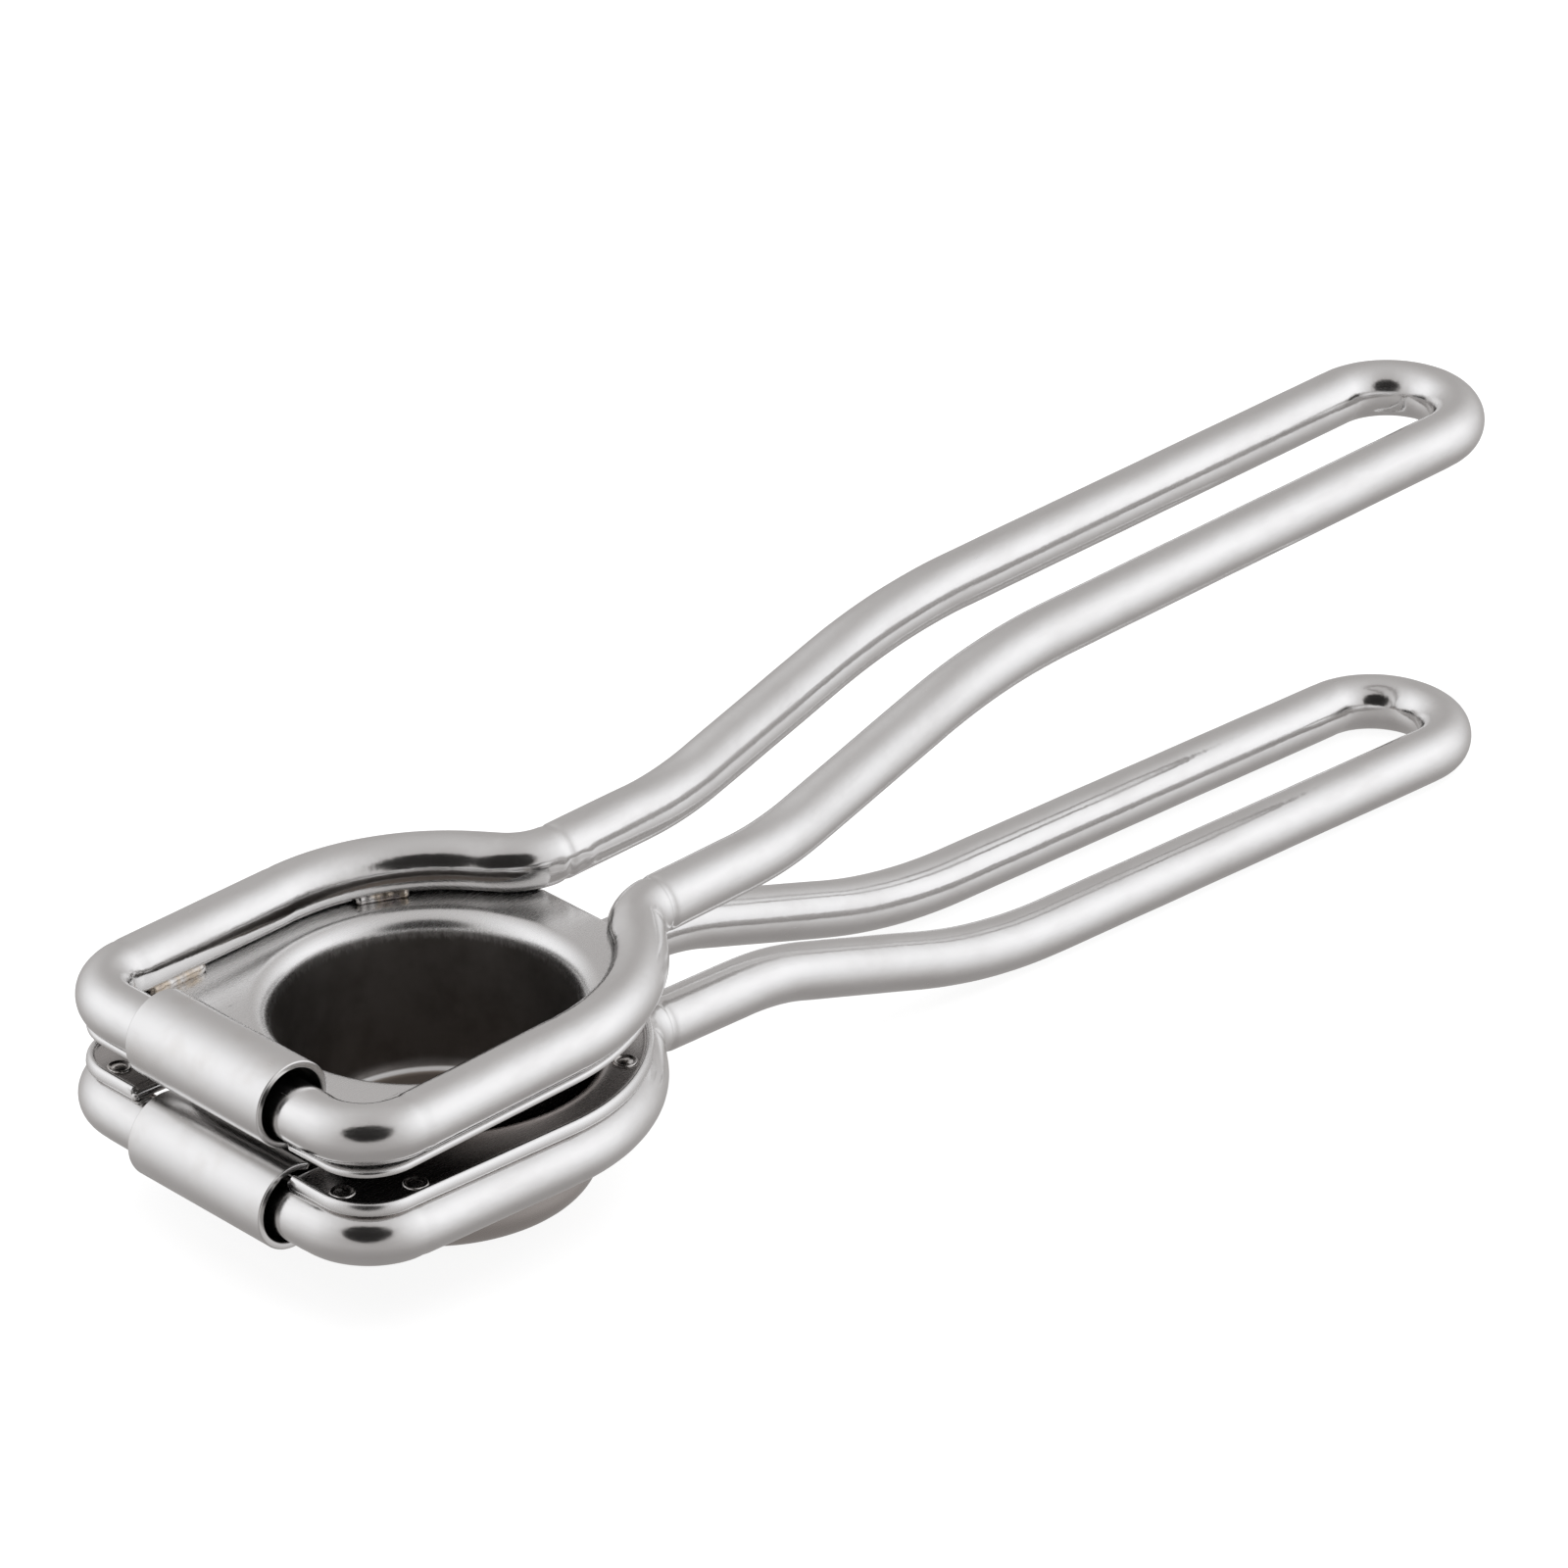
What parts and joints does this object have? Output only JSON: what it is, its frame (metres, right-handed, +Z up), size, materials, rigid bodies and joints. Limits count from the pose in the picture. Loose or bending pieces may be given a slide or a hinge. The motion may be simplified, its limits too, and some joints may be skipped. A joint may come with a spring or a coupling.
{
  "type": "citrus squeezer",
  "caption": "Hinged hand squeezer with two bent tube frames, a drawn press cup that nests in a drawn strainer bowl, and a rolled sheet hinge link.",
  "frame": {"origin": "on the table under the middle of the object's bounding box; the bowl's floor and the lower handle both stand on z = 0", "axes": "+Y from the hinge towards the handle ends, +X across the head, +Z up"},
  "size_m": [0.064, 0.24, 0.059],
  "materials": {
    "tube_steel": "polished",
    "sheet_steel": "satin",
    "link_steel": "satin",
    "weld_metal": "heat tinted"
  },
  "bodies": {
    "lower": {"lower_frame_tube": "tube_steel", "lower_frame_butt_weld": "weld_metal", "bowl_plate": "sheet_steel", "bowl_plate_spot_welds": "weld_metal"},
    "link": {"hinge_link": "link_steel"},
    "upper": {"upper_frame_tube": "tube_steel", "upper_frame_butt_weld": "weld_metal", "cup_plate": "sheet_steel", "cup_plate_weld_beads": "weld_metal"}
  },
  "joints": [
    {"name": "link_on_lower_bar", "type": "hinge", "parent": "lower", "child": "link", "pos_m": [0, -0.114, 0.01604], "axis": [1, 0, 0], "range_deg": [0, 75]},
    {"name": "upper_frame_on_link", "type": "hinge", "parent": "link", "child": "upper", "pos_m": [0, -0.114, 0.03054], "axis": [1, 0, 0], "range_deg": [-3, 175]}
  ]
}
